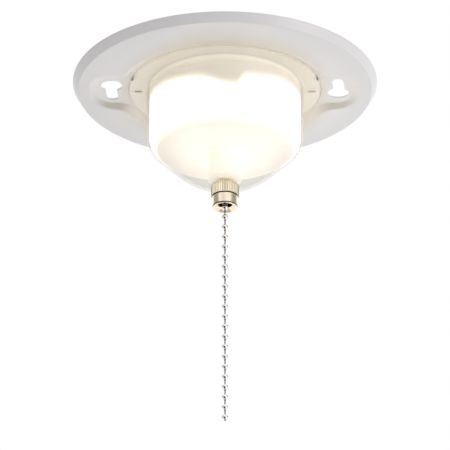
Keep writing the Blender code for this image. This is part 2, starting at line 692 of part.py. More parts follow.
def cut_top_pin(bead):
    """The top bead ends the chain, so it has no pin above it."""
    top = block("cutter_top_pin", (0.004, 0.004, 0.004), (0, 0, FIRST_BEAD_Z + BEAD_R * 0.94 + 0.002))
    boolean(bead, top, "DIFFERENCE")


def main():
    for old in list(bpy.data.objects):
        bpy.data.objects.remove(old)
    base_plate()
    lens()
    diffuser()
    light_carrier()
    led_board()
    leds()
    board_parts()
    carrier_screws()
    rear_housing()
    terminals()
    leads()
    switch_housing()
    switch_cap()
    fixed_contacts()
    contact_bridge()
    contact_rotor()
    plunger()
    return_spring()
    threaded_nipple()
    thimble_nut()
    bead_chain()


main()
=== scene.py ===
"""The finished looks of the pull-chain ceiling light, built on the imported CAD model.

Metres, +Z up. The origin is the centre of the plate's back face; the light hangs towards -Z.
"""

import json
import math

import bmesh
import bpy
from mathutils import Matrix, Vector


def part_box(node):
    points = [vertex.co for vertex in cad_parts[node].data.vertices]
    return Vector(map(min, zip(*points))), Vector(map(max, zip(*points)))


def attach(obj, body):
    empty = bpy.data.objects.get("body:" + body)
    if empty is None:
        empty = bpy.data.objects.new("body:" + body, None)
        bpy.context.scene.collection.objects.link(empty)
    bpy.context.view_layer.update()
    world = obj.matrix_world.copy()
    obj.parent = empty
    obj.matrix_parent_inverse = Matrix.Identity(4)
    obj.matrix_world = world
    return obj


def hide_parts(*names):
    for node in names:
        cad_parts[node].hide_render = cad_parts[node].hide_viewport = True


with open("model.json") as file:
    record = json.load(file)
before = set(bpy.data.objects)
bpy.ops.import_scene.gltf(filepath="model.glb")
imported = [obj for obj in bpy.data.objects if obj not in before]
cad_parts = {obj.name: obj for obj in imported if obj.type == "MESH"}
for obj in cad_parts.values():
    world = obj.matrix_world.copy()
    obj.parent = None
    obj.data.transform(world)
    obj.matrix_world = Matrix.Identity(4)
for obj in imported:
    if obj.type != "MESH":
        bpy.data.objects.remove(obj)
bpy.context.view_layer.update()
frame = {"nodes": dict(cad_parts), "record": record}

# ---------------------------------------------------------------- sizes from the frame

PLATE_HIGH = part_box("base_plate")[1]
LENS_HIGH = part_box("lens")[1]
DIFFUSER_LOW, DIFFUSER_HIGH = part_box("diffuser")
NUT_LOW, NUT_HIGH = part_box("thimble_nut")
FIRST_BEAD_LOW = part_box("chain_bead_01")[0]

# Base plate
PLATE_R = PLATE_HIGH.y
PLATE_EDGE_R = 0.0576
PLATE_EDGE_Z = -0.0036
FACE_INNER_Z = -0.0053
RIM_T = 0.0013
SKIN_T = 0.0018
RECESS_R = 0.0406
FACE_SLOPE = (PLATE_EDGE_Z - FACE_INNER_Z) / (PLATE_EDGE_R - RECESS_R)
WALL_FOOT = -0.0026
WALL_HEAD = 0.0020
FLOOR_Z = -0.00305
POCKET_T = 0.0010
PLATE_HOLE_R = 0.0270
SEAT_Z = -0.0022
SEAT_T = 0.0014
POCKET_HALF_W = 0.0129
POCKET_END_X = 0.0517
POCKET_CORNER_R = 0.0085
POCKET_MOUTH_R = 0.0060
RIM_EDGE_R = 0.0005
WALL_STEPS = 14
WALL_FOOT_SHARE = 0.05
WALL_HEAD_SHARE = 0.90

# Keyholes
SCREW_CIRCLE_R = 0.04445
KEYHOLE_R = 0.0042
SLOT_W = 0.0044
KEYHOLE_ANGLE = math.radians(4.0)
SLOT_END_ANGLE = math.radians(-8.3)
KEYHOLE_EDGE_T = 0.0005
KEYHOLE_FLARE = 0.0012

# Lens
FLANGE_R = LENS_HIGH.x
FLANGE_TOP_Z = LENS_HIGH.z
FLANGE_T = 0.0013
LENS_R = 0.0307
LENS_T = 0.0010
LENS_ROOT_R = 0.0010
LENS_CORNER_Z = -0.0268
LENS_CORNER_R = 0.0085
LENS_CONE_ANGLE = math.radians(44)
LENS_BOTTOM_Z = -0.0453
LENS_BOTTOM_R = 0.030
LENS_HOLE_R = 0.0040
LENS_HAZE = (0.62, 0.60, 0.57)
# the flange's warm haze colour and its glow are painted lamp light
FLANGE_HAZE_AND_GLOW = (0.89, 0.855, 0.785)
FLANGE_PAINTED_GLOW = 0.24

# Marks on the lens flange: angles in degrees from the X axis, radii, and the greys painted on both as the
# shadow of the rib and of the notch
NOTCH_SIDE = 15.0
NOTCH_HALF = 1.6
RIB_SPAN = (0.0325, 0.0353)
RIB_HALF = 0.9
MARK_SHADOW_GREYS = ((0.48, 0.47, 0.44), (0.54, 0.53, 0.50))

# Diffuser
DIFFUSER_R = DIFFUSER_HIGH.x + 0.00025
DIFFUSER_T = 0.0009
DIFFUSER_TOP_Z = -0.0027
DIFFUSER_FLOOR_Z = -0.0306
DIFFUSER_CORNER_R = 0.0067
NECK_R = 0.0066
NECK_BOTTOM_Z = DIFFUSER_LOW.z
NECK_FOOT_R = 0.0043

# Glow of the diffuser: heights on its side, how far the shadow of the rim reaches down
# per square metre of depth, and the shadow of one tab on the switch carrier
GLOW_TOP_Z = -0.0030
GLOW_FULL_Z = -0.0105
RIM_SHADE = 5.0
TAB_LEFT_SPAN = (-0.0130, 0.0035)
TAB_RIGHT_SPAN = (0.0085, 0.0040)
TAB_SHADE = 0.0040
FLOOR_GLOW_SPAN = (-0.0311, -0.0235)
FLOOR_GLOW = 0.24
RIM_GLOW = (0.20, 0.178, 0.14)
FULL_GLOW = (1.0, 0.925, 0.82)
GLOW_LEVEL = 1.35

# Thimble nut
NUT_TOP_Z = NUT_HIGH.z
NUT_KNURL_R = 0.00545
NUT_KNURL_BOTTOM_Z = -0.0499
NUT_COLLAR_R = 0.00505
NUT_MOUTH_Z = NUT_LOW.z
NUT_MOUTH_R = 0.0043
NUT_THROAT_R = 0.0026
NUT_THROAT_Z = -0.0534
NUT_SHOULDER_Z = -0.0528
NUT_BORE_R = 0.0039
NUT_GROOVE_W = 0.0004
NUT_GROOVE_R = 0.0047
NUT_LIP_R = 0.0048
NUT_LIP_T = 0.0004
KNURL_TEETH = 44
KNURL_DEPTH = 0.00022

# Bead chain
BEAD_R = 0.0013
BEAD_PITCH = 0.004277
FIRST_BEAD_Z = FIRST_BEAD_LOW.z + BEAD_R
PIN_R = 0.00023

# Plate colours: painted warm shade (cream) turns into white between two ellipses that are narrower in X by
# WARM_SQUEEZE, standing for the lamp's warm light and shade on the face near it, and painted shade makes
# the sloping walls behind the keyholes tan
WHITE = (0.83, 0.815, 0.82)
PAINTED_WARM_SHADE = (0.71, 0.66, 0.55)
WALL_SHADE_TAN = (0.60, 0.57, 0.50)
WARM_SPAN = (0.040, 0.055)
WARM_SQUEEZE = 1.25

# Camera
VIEW_RISE = math.radians(26.38)
VIEW_DISTANCE = 3.0
AIM_BELOW = 0.05573
LENS_MM = 613.2
SENSOR_MM = 36.0

# Studio: each patch is a direction, its half width in degrees and its brightness
WORLD_LEVEL = 0.82
WORLD_TINT = (1.0, 0.99, 1.0)
WORLD_PATCHES = (((0, -1, 0.5), 85, 0.70), ((-1, -0.2, 0.3), 80, 0.50))
MIRROR_LEVEL = 1.12
MIRROR_PATCHES = (
    ((-0.25, -0.88, -0.48), 60, 0.02),
    ((-1, 0, 0.45), 42, 0.35),
    ((1, 0, 0.45), 42, 0.35),
)


# ---------------------------------------------------------------- camera, floor and light

def add_camera():
    """Looks along +Y and up at the ceiling light from below, aimed a little under its plate."""
    data = bpy.data.cameras.new("camera")
    data.lens = LENS_MM
    data.sensor_width = SENSOR_MM
    data.clip_end = 100
    camera = bpy.data.objects.new("camera", data)
    bpy.context.scene.collection.objects.link(camera)
    forward = Vector((0, math.cos(VIEW_RISE), math.sin(VIEW_RISE)))
    up = Vector((0, -math.sin(VIEW_RISE), math.cos(VIEW_RISE)))
    camera.location = -VIEW_DISTANCE * forward - AIM_BELOW * up
    camera.rotation_euler = (math.pi / 2 + VIEW_RISE, 0, 0)
    bpy.context.scene.camera = camera


def add_floor():
    """A plain pale floor, far enough below that every view of the light stays above it."""
    bm = bmesh.new()
    bmesh.ops.create_circle(bm, cap_ends=True, radius=4.0, segments=96)
    floor = object_of(bm, "floor")
    floor.location = (0, 0, -6)
    nodes = NodeTree("pale_floor")
    noise = nodes.noise(scale=3.0, detail=2)
    nodes.colour_between(noise, (0.80, 0.80, 0.80), (0.84, 0.84, 0.84))
    nodes.shader.inputs["Roughness"].default_value = 0.9
    floor.data.materials.append(nodes.material)


def patched_light(tree, direction, tint, level, patches):
    """A background of one level, except for soft patches that are darker."""
    background = tree.nodes.new("ShaderNodeBackground")
    background.inputs["Color"].default_value = (*tint, 1)
    strength = None
    for toward, half_width, share in patches:
        dot = tree.nodes.new("ShaderNodeVectorMath")
        dot.operation = "DOT_PRODUCT"
        dot.inputs[1].default_value = Vector(toward).normalized()
        tree.links.new(direction, dot.inputs[0])
        patch = tree.nodes.new("ShaderNodeMapRange")
        patch.interpolation_type = "SMOOTHSTEP"
        patch.inputs["From Min"].default_value = math.cos(math.radians(half_width))
        patch.inputs["From Max"].default_value = 1.0
        patch.inputs["To Min"].default_value = 1.0
        patch.inputs["To Max"].default_value = share
        tree.links.new(dot.outputs["Value"], patch.inputs["Value"])
        product = tree.nodes.new("ShaderNodeMath")
        product.operation = "MULTIPLY"
        product.inputs[0].default_value = level
        if strength is not None:
            tree.links.new(strength, product.inputs[0])
        tree.links.new(patch.outputs["Result"], product.inputs[1])
        strength = product.outputs["Value"]
    tree.links.new(strength, background.inputs["Strength"])
    return background.outputs["Background"]


def add_world():
    """White to the camera, a soft studio to matt surfaces, and a studio with dark flags to metal."""
    world = bpy.data.worlds.new("studio")
    bpy.context.scene.world = world
    world.use_nodes = True
    tree = world.node_tree
    tree.nodes.clear()
    direction = tree.nodes.new("ShaderNodeTexCoord").outputs["Generated"]
    path = tree.nodes.new("ShaderNodeLightPath")
    shader = patched_light(tree, direction, WORLD_TINT, WORLD_LEVEL, WORLD_PATCHES)
    mirrored = patched_light(tree, direction, (1, 1, 1), MIRROR_LEVEL, MIRROR_PATCHES)
    seen = tree.nodes.new("ShaderNodeBackground")
    seen.inputs["Color"].default_value = (1, 1, 1, 1)
    backgrounds = (("Is Glossy Ray", mirrored), ("Is Camera Ray", seen.outputs["Background"]))
    for ray, light in backgrounds:
        mix = tree.nodes.new("ShaderNodeMixShader")
        tree.links.new(path.outputs[ray], mix.inputs["Fac"])
        tree.links.new(shader, mix.inputs[1])
        tree.links.new(light, mix.inputs[2])
        shader = mix.outputs["Shader"]
    output = tree.nodes.new("ShaderNodeOutputWorld")
    tree.links.new(shader, output.inputs["Surface"])


def add_light(name, place, aim, size, power):
    data = bpy.data.lights.new(name, "AREA")
    data.shape = "DISK"
    data.size = size
    data.energy = power
    light = bpy.data.objects.new(name, data)
    bpy.context.scene.collection.objects.link(light)
    light.location = place
    light.rotation_euler = (Vector(aim) - Vector(place)).to_track_quat("-Z", "Y").to_euler()


# ---------------------------------------------------------------- material tools

class NodeTree:
    """One procedural material round a Principled shader."""

    def __init__(self, name):
        self.material = bpy.data.materials.new(name)
        self.material.use_nodes = True
        self.tree = self.material.node_tree
        self.shader = self.tree.nodes["Principled BSDF"]
        self.place = self.add("ShaderNodeTexCoord").outputs["Object"]

    def add(self, kind):
        return self.tree.nodes.new(kind)

    def link(self, source, target):
        self.tree.links.new(source, target)

    def noise(self, scale, detail=3.0, stretch=(1, 1, 1)):
        """Smooth noise; scale counts its features per metre."""
        mapping = self.add("ShaderNodeMapping")
        mapping.inputs["Scale"].default_value = stretch
        self.link(self.place, mapping.inputs["Vector"])
        texture = self.add("ShaderNodeTexNoise")
        texture.inputs["Scale"].default_value = scale
        texture.inputs["Detail"].default_value = detail
        self.link(mapping.outputs["Vector"], texture.inputs["Vector"])
        return texture.outputs["Fac"]

    def ranged(self, value, low, high, start=0.35, end=0.65):
        """Maps a value's span from start to end onto low to high."""
        span = self.add("ShaderNodeMapRange")
        span.inputs["From Min"].default_value = start
        span.inputs["From Max"].default_value = end
        span.inputs["To Min"].default_value = low
        span.inputs["To Max"].default_value = high
        self.link(value, span.inputs["Value"])
        return span.outputs["Result"]

    def colour_between(self, value, low, high, target="Base Color"):
        ramp = self.add("ShaderNodeValToRGB")
        ramp.color_ramp.elements[0].position = 0.35
        ramp.color_ramp.elements[1].position = 0.65
        ramp.color_ramp.elements[0].color = (*low, 1)
        ramp.color_ramp.elements[1].color = (*high, 1)
        self.link(value, ramp.inputs["Fac"])
        self.link(ramp.outputs["Color"], self.shader.inputs[target])

    def maths(self, operation, first, second=0.0):
        """A Math node on a value and a second value or number."""
        node = self.add("ShaderNodeMath")
        node.operation = operation
        self.link(first, node.inputs[0])
        if isinstance(second, float):
            node.inputs[1].default_value = second
        else:
            self.link(second, node.inputs[1])
        return node.outputs["Value"]

    def roughness(self, value, low, high):
        self.link(self.ranged(value, low, high), self.shader.inputs["Roughness"])

    def bump(self, value, depth, strength=1.0):
        """Raises the surface by up to depth metres."""
        step = self.add("ShaderNodeBump")
        step.inputs["Strength"].default_value = strength
        step.inputs["Distance"].default_value = depth
        self.link(value, step.inputs["Height"])
        self.link(step.outputs["Normal"], self.shader.inputs["Normal"])

    def set(self, **values):
        for name, value in values.items():
            self.shader.inputs[name.replace("_", " ")].default_value = value


def moulded_plastic(name, low, high, rough=(0.24, 0.30)):
    """Injection-moulded plastic: slight flow shading and a very fine surface."""
    nodes = NodeTree(name)
    nodes.colour_between(nodes.noise(45, 2), low, high)
    nodes.roughness(nodes.noise(300, 3), *rough)
    nodes.bump(nodes.noise(2200, 2), 0.000006, 0.12)
    return nodes.material


def smooth_span(nodes, value, none, full):
    """0 where value is none, rising smoothly to 1 where it is full."""
    span = nodes.add("ShaderNodeMapRange")
    span.interpolation_type = "SMOOTHSTEP"
    span.inputs["From Min"].default_value = none
    span.inputs["From Max"].default_value = full
    nodes.link(value, span.inputs["Value"])
    return span.outputs["Result"]


def radius_of(nodes, split, squeeze):
    """Distance from the Z axis, with X multiplied by squeeze."""
    across = nodes.maths("MULTIPLY", split.outputs["X"], squeeze)
    across = nodes.maths("MULTIPLY", across, across)
    along = nodes.maths("MULTIPLY", split.outputs["Y"], split.outputs["Y"])
    return nodes.maths("SQRT", nodes.maths("ADD", across, along))


def wall_shade_share(nodes, split):
    """Where the painted shade goes: 1 on the sloping walls behind the keyholes towards +Y, 0 on the floor,
    the face and the rim.
    """
    radius = radius_of(nodes, split, 1.0)
    side = nodes.maths("ABSOLUTE", split.outputs["X"])
    face = nodes.maths("MULTIPLY", nodes.maths("SUBTRACT", radius, RECESS_R), FACE_SLOPE)
    above_face = nodes.maths("SUBTRACT", nodes.maths("SUBTRACT", split.outputs["Z"], FACE_INNER_Z), face)
    share = smooth_span(nodes, above_face, 0.0, 0.0005)
    for value, none, full in (
        (split.outputs["Z"], FLOOR_Z, FLOOR_Z - 0.0003),
        (radius, POCKET_END_X + 0.0030, POCKET_END_X + 0.0020),
        (split.outputs["Y"], -0.0040, 0.0100),
        (side, 0.0340, 0.0410),
        (side, 0.0530, 0.0465),
    ):
        share = nodes.maths("MULTIPLY", share, nodes.ranged(value, 0, 1, none, full))
    return share


def plate_plastic_with_painted_shade(name):
    """The plate's white plastic with painted shade: cream and darker near the lamp for its warm light and
    shade, and tan on the walls behind the keyholes for their shade.
    """
    nodes = NodeTree(name)
    split = nodes.add("ShaderNodeSeparateXYZ")
    nodes.link(nodes.place, split.inputs["Vector"])
    drift = nodes.ranged(nodes.noise(45, 2), -0.0012, 0.0012)
    radius = nodes.maths("ADD", radius_of(nodes, split, WARM_SQUEEZE), drift)
    ramp = nodes.add("ShaderNodeValToRGB")
    ramp.color_ramp.elements[0].color = (*PAINTED_WARM_SHADE, 1)
    ramp.color_ramp.elements[1].color = (*WHITE, 1)
    # painted shade: the face turns darker and cream towards the lamp, standing for the lamp's warm light
    # and the shade near it
    nodes.link(nodes.ranged(radius, 0, 1, *WARM_SPAN), ramp.inputs["Fac"])
    # painted shade: the walls behind the keyholes, which face away from the light, turn tan
    mix = nodes.add("ShaderNodeMixRGB")
    mix.inputs["Color2"].default_value = (*WALL_SHADE_TAN, 1)
    nodes.link(wall_shade_share(nodes, split), mix.inputs["Fac"])
    nodes.link(ramp.outputs["Color"], mix.inputs["Color1"])
    nodes.link(mix.outputs["Color"], nodes.shader.inputs["Base Color"])
    nodes.roughness(nodes.noise(300, 3), 0.28, 0.34)
    nodes.bump(nodes.noise(900, 2), 0.000006, 0.15)
    return nodes.material


def plated_metal(name, low, high, rough=(0.08, 0.16), stretch=(1, 1, 1)):
    """Polished or drawn metal with fine streaks and faint handling marks."""
    nodes = NodeTree(name)
    nodes.colour_between(nodes.noise(500, 3), low, high)
    nodes.roughness(nodes.noise(900, 4, stretch), *rough)
    nodes.bump(nodes.noise(2600, 2, stretch), 0.000006, 0.3)
    nodes.set(Metallic=1.0)
    return nodes.material


def clear_plastic(name):
    """Clear moulded plastic: seen through where it faces the eye, milkier towards its edges.

    The thick flange is milky; a painted glow and a warm haze colour on it stand in for the lamp's light
    that it carries.
    """
    nodes = NodeTree(name)
    split = nodes.add("ShaderNodeSeparateXYZ")
    nodes.link(nodes.place, split.inputs["Vector"])
    flange = nodes.ranged(split.outputs["Z"], 0, 1, FLANGE_TOP_Z - 0.0050, FLANGE_TOP_Z - 0.0022)
    wisps = nodes.ranged(nodes.noise(80, 2), -0.08, 0.08)
    tint = nodes.add("ShaderNodeValToRGB")
    tint.color_ramp.elements[0].color = (*LENS_HAZE, 1)
    tint.color_ramp.elements[1].color = (*FLANGE_HAZE_AND_GLOW, 1)
    nodes.link(nodes.maths("ADD", flange, wisps), tint.inputs["Fac"])
    nodes.link(tint.outputs["Color"], nodes.shader.inputs["Base Color"])
    # painted light: the flange glows warm although it is no lamp
    nodes.link(tint.outputs["Color"], nodes.shader.inputs["Emission Color"])
    nodes.link(nodes.maths("MULTIPLY", flange, FLANGE_PAINTED_GLOW), nodes.shader.inputs["Emission Strength"])
    nodes.roughness(nodes.noise(400, 3), 0.05, 0.10)
    nodes.bump(nodes.noise(140, 2), 0.00003, 0.15)
    edge = nodes.add("ShaderNodeLayerWeight")
    edge.inputs["Blend"].default_value = 0.35
    haze = nodes.ranged(edge.outputs["Facing"], 0.05, 0.45, 0.2, 0.95)
    milk = nodes.maths("MULTIPLY", flange, 0.35)
    nodes.link(nodes.maths("MAXIMUM", haze, milk), nodes.shader.inputs["Alpha"])
    nodes.set(IOR=1.49, Specular_IOR_Level=0.25)
    return nodes.material


def lit_diffuser(name):
    """Frosted plastic lit by the LEDs inside it.

    Its rim is in the housing's shadow, deepest at the front and back, and its floor is dimmer.
    """
    nodes = NodeTree(name)
    nodes.colour_between(nodes.noise(70, 2), (0.80, 0.765, 0.69), (0.84, 0.805, 0.73))
    nodes.roughness(nodes.noise(900, 3), 0.35, 0.5)
    nodes.bump(nodes.noise(1500, 2), 0.00001, 0.2)
    split = nodes.add("ShaderNodeSeparateXYZ")
    nodes.link(nodes.place, split.inputs["Vector"])
    depth = nodes.maths("MULTIPLY", split.outputs["Y"], split.outputs["Y"])
    left = smooth_span(nodes, split.outputs["X"], *TAB_LEFT_SPAN)
    right = smooth_span(nodes, split.outputs["X"], *TAB_RIGHT_SPAN)
    tab = nodes.maths("MULTIPLY", nodes.maths("MULTIPLY", left, right), TAB_SHADE)
    shade = nodes.maths("ADD", nodes.maths("MULTIPLY", depth, RIM_SHADE), tab)
    wave = nodes.ranged(nodes.noise(40, 1), -0.0004, 0.0004, 0.3, 0.7)
    height = nodes.maths("ADD", nodes.maths("ADD", split.outputs["Z"], shade), wave)
    below_rim = smooth_span(nodes, height, GLOW_TOP_Z, GLOW_FULL_Z)
    floor_fade = smooth_span(nodes, split.outputs["Z"], *FLOOR_GLOW_SPAN)
    above_floor = nodes.maths("ADD", floor_fade, FLOOR_GLOW)
    glow = nodes.maths("MINIMUM", nodes.maths("MULTIPLY", below_rim, below_rim), above_floor)
    ramp = nodes.add("ShaderNodeValToRGB")
    ramp.color_ramp.elements[0].color = (*RIM_GLOW, 1)
    ramp.color_ramp.elements[1].color = (*FULL_GLOW, 1)
    nodes.link(glow, ramp.inputs["Fac"])
    nodes.link(ramp.outputs["Color"], nodes.shader.inputs["Emission Color"])
    nodes.set(Emission_Strength=GLOW_LEVEL)
    return nodes.material


# ---------------------------------------------------------------- shape tools

def object_of(bm, name, smooth_angle=40.0):
    bmesh.ops.recalc_face_normals(bm, faces=bm.faces)
    mesh = bpy.data.meshes.new(name)
    bm.to_mesh(mesh)
    bm.free()
    obj = bpy.data.objects.new(name, mesh)
    bpy.context.scene.collection.objects.link(obj)
    mesh.shade_smooth()
    mesh.set_sharp_from_angle(angle=math.radians(smooth_angle))
    return obj


def arc(centre_r, centre_z, radius, start, end, steps):
    """Points (r, z) along an arc; the angles are in radians."""
    turn = (end - start) / steps
    return [
        (centre_r + radius * math.cos(start + turn * i), centre_z + radius * math.sin(start + turn * i))
        for i in range(steps + 1)
    ]


def joined(rings, closed):
    """Faces between rings of equal size. A ring of one point is a pole."""
    bm = bmesh.new()
    made = [[bm.verts.new(point) for point in ring] for ring in rings]
    pairs = list(zip(made, made[1:]))
    if closed:
        pairs.append((made[-1], made[0]))
    for low, high in pairs:
        count = max(len(low), len(high))
        for i in range(count):
            k = (i + 1) % count
            corners = [low[i % len(low)], low[k % len(low)], high[k % len(high)], high[i % len(high)]]
            bm.faces.new(list(dict.fromkeys(corners)))
    return bm


def turned(name, profile, segments, shape=None, smooth_angle=40.0):
    """A profile of (r, z) turned about Z. shape(r, z, angle) may move a point to another (r, z)."""
    rings = []
    for r, z in profile:
        if r == 0:
            rings.append([(0, 0, z)])
            continue
        ring = []
        for i in range(segments):
            angle = math.tau * i / segments
            at_r, at_z = shape(r, z, angle) if shape else (r, z)
            ring.append((at_r * math.cos(angle), at_r * math.sin(angle), at_z))
        rings.append(ring)
    return object_of(joined(rings, closed=profile[0][0] != 0), name, smooth_angle)


def cut(target, cutters):
    """Applies Boolean cuts to the mesh itself and removes the cutters."""
    for cutter in cutters:
        step = target.modifiers.new(cutter.name, "BOOLEAN")
        step.operation = "DIFFERENCE"
        step.object = cutter
    bpy.context.view_layer.update()
    graph = bpy.context.evaluated_depsgraph_get()
    mesh = bpy.data.meshes.new_from_object(target.evaluated_get(graph))
    target.modifiers.clear()
    target.data = mesh
    for cutter in cutters:
        bpy.data.objects.remove(cutter)
    return target


def place_piece(piece, material, body, slot, *replaced):
    piece.data.materials.clear()
    piece.data.materials.append(material)
    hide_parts(*replaced)
    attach(piece, body)
    return piece


# ---------------------------------------------------------------- base plate

def recess_outline(grow):
    """The recess and its two side pockets as one closed line, moved outwards by grow."""
    recess = RECESS_R + grow
    half = POCKET_HALF_W + grow
    end = POCKET_END_X + grow
    corner = POCKET_CORNER_R + grow
    mouth = POCKET_MOUTH_R - grow
    mouth_y = half + mouth
    mouth_x = math.sqrt((recess + mouth) ** 2 - mouth_y**2)
    mouth_angle = math.atan2(mouth_y, mouth_x)
    quarter = [(end, (half - corner) * k / 4) for k in range(4)]
    quarter += arc(end - corner, half - corner, corner, 0, math.pi / 2, 16)
    quarter += arc(mouth_x, mouth_y, mouth, -math.pi / 2, mouth_angle - math.pi, 14)
    quarter += arc(0, 0, recess, mouth_angle, math.pi / 2, 34)[1:]
    half_loop = quarter + [(-x, y) for x, y in reversed(quarter[:-1])]
    return half_loop + [(x, -y) for x, y in reversed(half_loop[1:-1])]


def face_z(x, y):
    """Height of the plate's shallow conical face."""
    return FACE_INNER_Z + (math.hypot(x, y) - RECESS_R) * FACE_SLOPE


def level_ring(grow, z):
    return [(x, y, z) for x, y in recess_outline(grow)]


def face_ring(grow, lift):
    return [(x, y, face_z(x, y) + lift) for x, y in recess_outline(grow)]


def circle_ring(radius, z):
    """A circle whose points lie on the same rays as the outline's."""
    rays = [math.atan2(y, x) for x, y in recess_outline(0)]
    return [(radius * math.cos(a), radius * math.sin(a), z) for a in rays]


def wall_ring(share):
    """One line round the wall, from its foot on the floor (0) to its head on the face (1)."""
    grow = WALL_FOOT + (WALL_HEAD - WALL_FOOT) * share
    slope = min(1.0, max(0.0, (share - WALL_FOOT_SHARE) / (WALL_HEAD_SHARE - WALL_FOOT_SHARE)))
    slope = 0.25 * slope * slope * (3 - 2 * slope) + 0.75 * slope
    ring = []
    for x, y in recess_outline(grow):
        ring.append((x, y, FLOOR_Z + (face_z(x, y) - FLOOR_Z) * slope))
    return ring


def between(low, high, share):
    return [tuple(a + (b - a) * share for a, b in zip(p, q)) for p, q in zip(low, high)]


def base_plate():
    inside_r = PLATE_EDGE_R - SKIN_T
    seat_r = FLANGE_R + 0.0003
    step_r = seat_r + POCKET_T
    rings = [circle_ring(PLATE_HOLE_R, SEAT_Z), circle_ring(seat_r - 0.0001, SEAT_Z)]
    rings += [circle_ring(seat_r, SEAT_Z - 0.0001), circle_ring(seat_r, FLOOR_Z + 0.0002)]
    rings.append(circle_ring(seat_r + 0.0002, FLOOR_Z))
    face_inner = face_ring(WALL_HEAD, 0)
    for i in range(WALL_STEPS + 1):
        rings.append(wall_ring(i / WALL_STEPS))
    edge_r = PLATE_EDGE_R - RIM_EDGE_R
    face_outer = circle_ring(edge_r, face_z(edge_r, 0))
    rings += [between(face_inner, face_outer, share) for share in (0.1, 0.3, 0.55, 0.8, 0.95)]
    rings.append(face_outer)
    drop = face_z(edge_r, 0)
    for r, z in arc(edge_r, drop + RIM_EDGE_R, RIM_EDGE_R, -math.pi / 2, -math.pi / 7, 4)[1:]:
        rings.append(circle_ring(r, z))
    rings.append(circle_ring(PLATE_R - 0.0004, -0.0009))
    rings.append(circle_ring(PLATE_R, -0.0002))
    rings.append(circle_ring(PLATE_R, 0))
    rings.append(circle_ring(PLATE_R - RIM_T, 0))
    back_outer = circle_ring(inside_r, face_z(inside_r, 0) + SKIN_T)
    back_inner = face_ring(WALL_HEAD + 0.0005, SKIN_T)
    rings += [back_outer, between(back_outer, back_inner, 0.5), back_inner]
    rings.append(level_ring(WALL_FOOT + 0.0010, FLOOR_Z + POCKET_T))
    rings.append(circle_ring(step_r, FLOOR_Z + POCKET_T))
    rings.append(circle_ring(step_r - 0.0004, SEAT_Z + SEAT_T))
    rings.append(circle_ring(PLATE_HOLE_R, SEAT_Z + SEAT_T))
    plate = object_of(joined(rings, closed=True), "plate_moulding")
    cut(plate, keyhole_cutters("right", 0.0) + keyhole_cutters("left", math.pi))
    plate.data.shade_smooth()
    plate.data.set_sharp_from_angle(angle=math.radians(38))
    place_piece(plate, plate_plastic_with_painted_shade("white_moulding"), "fixture", "white_plastic", "base_plate")


def capped(name, rings):
    """Rings joined one to the next, with a flat cap on the first and the last."""
    bm = joined(rings, closed=False)
    bm.verts.ensure_lookup_table()
    bm.faces.new(bm.verts[:len(rings[0])])
    bm.faces.new(bm.verts[-len(rings[0]):])
    return object_of(bm, name)


def on_screw_circle(angle):
    return SCREW_CIRCLE_R * math.cos(angle), SCREW_CIRCLE_R * math.sin(angle)


def wide_outline(turn, grow):
    """The wide hole that a screw head passes."""
    start = 0.03
    return arc(*on_screw_circle(turn + KEYHOLE_ANGLE), KEYHOLE_R + grow, start, start + math.tau, 72)[:-1]


def slot_outline(turn, grow):
    """The curved slot that the screw's shank turns into."""
    half = SLOT_W / 2 + grow
    wide_angle = turn + KEYHOLE_ANGLE
    end_angle = turn + SLOT_END_ANGLE
    outline = arc(0, 0, SCREW_CIRCLE_R + half, wide_angle, end_angle, 20)
    outline += arc(*on_screw_circle(end_angle), half, end_angle, end_angle - math.pi, 28)[1:-1]
    return outline + arc(0, 0, SCREW_CIRCLE_R - half, end_angle, wide_angle, 20)


def keyhole_cutters(side, turn):
    """A thin edge at the front, flared towards the back."""
    flare_z = FLOOR_Z + KEYHOLE_EDGE_T
    reach = 0.0025
    levels = ((FLOOR_Z - reach, 0), (flare_z, 0), (flare_z + reach, KEYHOLE_FLARE * reach / POCKET_T))
    cutters = []
    for name, outline in (("hole", wide_outline), ("slot", slot_outline)):
        rings = [[(x, y, z) for x, y in outline(turn, grow)] for z, grow in levels]
        cutters.append(capped(f"cutter_{side}_{name}", rings))
    return cutters


# ---------------------------------------------------------------- lens and diffuser

def dome_outline(radius, corner_z, corner_r, bottom_z, end_r):
    """(r, z) down a dome: a straight wall, a round corner, a cone and a shallow round bottom."""
    angle = LENS_CONE_ANGLE
    reach = corner_r * math.tan((math.pi / 2 - angle) / 2)
    points = arc(radius - corner_r, corner_z + reach, corner_r, 0, angle - math.pi / 2, 20)
    foot_r = radius - (corner_z - bottom_z) / math.tan(angle)
    blend = LENS_BOTTOM_R * math.tan(angle / 2)
    end_turn = math.asin((end_r - foot_r + blend) / LENS_BOTTOM_R)
    start = angle - math.pi / 2
    end = end_turn - math.pi / 2
    points += arc(foot_r - blend, bottom_z + LENS_BOTTOM_R, LENS_BOTTOM_R, start, end, 16)
    return points


def flange_marks(r, z, angle):
    """Moves the lens flange's points: a radial rib at each side and a notch in its front edge."""
    side = math.degrees(min(angle, abs(math.pi - angle), math.tau - angle))
    if r < LENS_R + LENS_ROOT_R * 0.9 or z < FLANGE_TOP_Z - FLANGE_T - 0.0001:
        return r, z
    rib = max(0.0, 1.0 - side / RIB_HALF) * 0.0006
    if z < FLANGE_TOP_Z - FLANGE_T / 2:
        z -= rib
    near = math.sin(angle) < 0 and abs(side - NOTCH_SIDE) < NOTCH_HALF
    if near and r > FLANGE_R - 0.0001:
        r -= 0.0008
    return r, z


